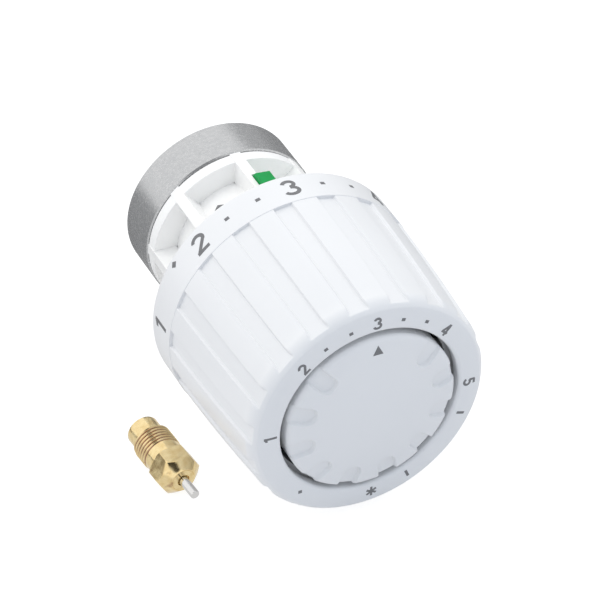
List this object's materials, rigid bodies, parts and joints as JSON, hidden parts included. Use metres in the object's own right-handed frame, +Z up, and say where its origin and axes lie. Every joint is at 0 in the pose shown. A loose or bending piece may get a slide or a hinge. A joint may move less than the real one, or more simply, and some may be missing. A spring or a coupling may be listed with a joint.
{
  "type": "thermostatic radiator valve head",
  "caption": "Radiator thermostat head: ribbed white handwheel with setting scales, caged neck, die-cast clamping collar, and a loose brass gland insert with press pin.",
  "frame": {"origin": "middle of the collar's clamp bore, on the head's axis", "axes": "+Y along the head's axis from the dial towards the valve, +X to the right of someone facing the dial, +Z up, the side that the dial arrow and the selected number are on"},
  "size_m": [0.0657, 0.0793, 0.0566],
  "materials": {
    "white_plastic": "satin moulded ABS",
    "inner_plastic": "natural glass-filled polyamide",
    "dark_plastic": "moulded dark acetal",
    "green_plastic": "moulded bright green",
    "die_cast_zinc": "dull tumbled die casting",
    "steel": "bright drawn stainless",
    "aluminium_sheet": "deep drawn sheet",
    "copper_tube": "soft copper, pinched shut",
    "bronze_bellows": "thin formed bronze",
    "brass": "turned brass, lightly tarnished",
    "black_rubber": "greased nitrile"
  },
  "bodies": {
    "cage": {"base_cage": "white_plastic", "mounting_collar": "die_cast_zinc", "collar_ring": "steel", "spindle_guide": "inner_plastic", "guide_clip": "steel", "knob_ring": "steel", "return_spring": "steel"},
    "clamp_shoe": {"clamp_shoe": "steel"},
    "clamp_screw": {"clamp_screw": "steel"},
    "limiter_pin": {"limiter_pin": "green_plastic"},
    "knob": {"knob": "white_plastic"},
    "sensor_unit": {"front_disc": "white_plastic", "sensor_carrier": "dark_plastic", "sensor_capsule": "aluminium_sheet", "capsule_lid": "aluminium_sheet", "charge_tube": "copper_tube", "bellows": "bronze_bellows"},
    "spindle": {"pressure_plate": "aluminium_sheet", "spindle": "steel", "spring_seat": "steel", "seat_clip": "steel", "overtravel_spring": "steel"},
    "contact_cap": {"contact_cap": "inner_plastic"},
    "gland": {"gland_body": "brass", "gland_bush": "brass", "gland_seal": "black_rubber", "gland_washer": "brass", "gland_rear_guide": "brass"},
    "press_pin": {"press_pin": "steel"}
  },
  "joints": [
    {"name": "knob_turn", "type": "hinge", "parent": "cage", "child": "knob", "pos_m": [0, -0.0528, 0], "axis": [0, 1, 0], "range_deg": [-110, 206]},
    {"name": "setting_slide", "type": "slide", "parent": "cage", "child": "sensor_unit", "axis": [0, 1, 0], "range_m": [-0.00154, 0.00288], "deforming": ["return_spring"]},
    {"name": "temperature_stroke", "type": "slide", "parent": "sensor_unit", "child": "spindle", "axis": [0, 1, 0], "range_m": [-0.0008, 0.0015], "stiffness_N_per_m": 2000, "deforming": ["bellows", "return_spring"]},
    {"name": "overtravel", "type": "slide", "parent": "spindle", "child": "contact_cap", "axis": [0, -1, 0], "range_m": [0, 0.001], "stiffness_N_per_m": 1500, "springref_m": -0.001, "deforming": ["overtravel_spring"]},
    {"name": "clamp_screw_turn", "type": "hinge", "parent": "clamp_shoe", "child": "clamp_screw", "pos_m": [0.00523, 0, -0.01951], "axis": [-0.2588, 0, 0.9659], "range_deg": [0, 360]},
    {"name": "clamp_shoe_press", "type": "slide", "parent": "cage", "child": "clamp_shoe", "axis": [-0.2588, 0, 0.9659], "range_m": [0, 0.0007]},
    {"name": "limiter_pull", "type": "slide", "parent": "cage", "child": "limiter_pin", "axis": [0.1478, 0, 0.989], "range_m": [0, 0.008]},
    {"name": "gland_lift", "type": "slide", "parent": "cage", "child": "gland", "axis": [-0.2425, 0, 0.9701], "range_m": [0, 0.04]},
    {"name": "press_pin_slide", "type": "slide", "parent": "gland", "child": "press_pin", "axis": [-0.0698, 0.9976, 0], "range_m": [0, 0.003]}
  ],
  "couplings": [
    {"joint": "setting_slide", "follows": "knob_turn", "m_per_rad": 0.00079577}
  ]
}
